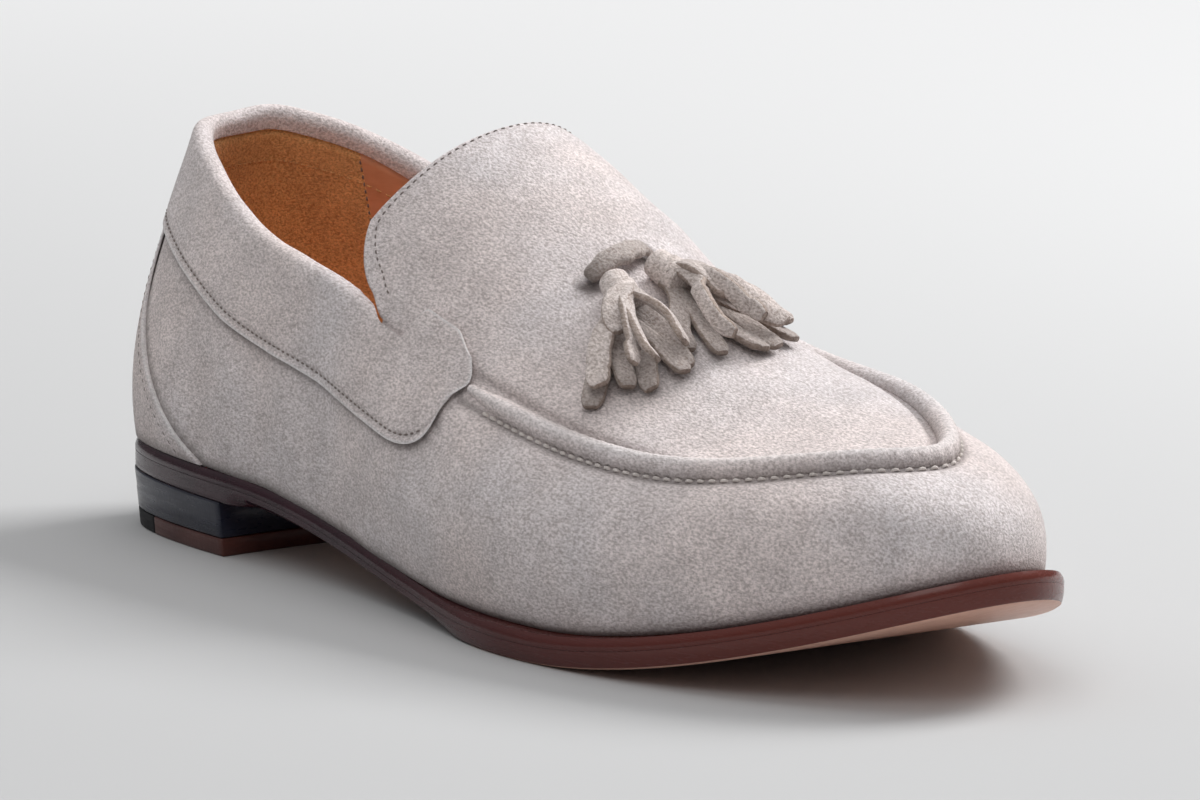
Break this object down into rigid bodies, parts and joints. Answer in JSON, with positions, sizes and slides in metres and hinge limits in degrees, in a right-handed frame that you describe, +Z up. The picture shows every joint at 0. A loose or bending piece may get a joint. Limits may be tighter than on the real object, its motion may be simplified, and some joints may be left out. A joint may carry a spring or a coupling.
{
  "type": "tassel loafer",
  "caption": "A slip-on suede shoe with a raised apron seam, a rolled collar band with lapped tabs, tasselled bow, leather sole and low stacked heel",
  "frame": {"origin": "on the floor, under the middle of the heel's flat walking face", "axes": "+X from heel to toe, +Y to the inner side of the right foot, +Z up"},
  "size_m": [0.2941, 0.1015, 0.1005],
  "materials": {
    "suede": "light grey-beige suede with a short nap",
    "lining": "smooth tan lining leather",
    "edge": "dark brown burnished edge",
    "sole_leather": "natural sole leather",
    "heel": "dark navy stained stacked leather",
    "top_piece": "red-brown burnished leather",
    "rubber": "black rubber",
    "tassel_suede": "darker suede, cut edges"
  },
  "bodies": {
    "root": {"upper": "suede", "tongue": "suede", "apron_seam": "suede", "collar_band": "suede", "heel_counter": "suede", "insole": "lining", "midsole": "edge", "outsole": "sole_leather", "heel_block": "heel", "top_piece_leather": "top_piece", "top_piece_rubber": "rubber", "tassel_bow": "tassel_suede", "tassel_outer": "tassel_suede", "tassel_inner": "tassel_suede"}
  },
  "joints": []
}
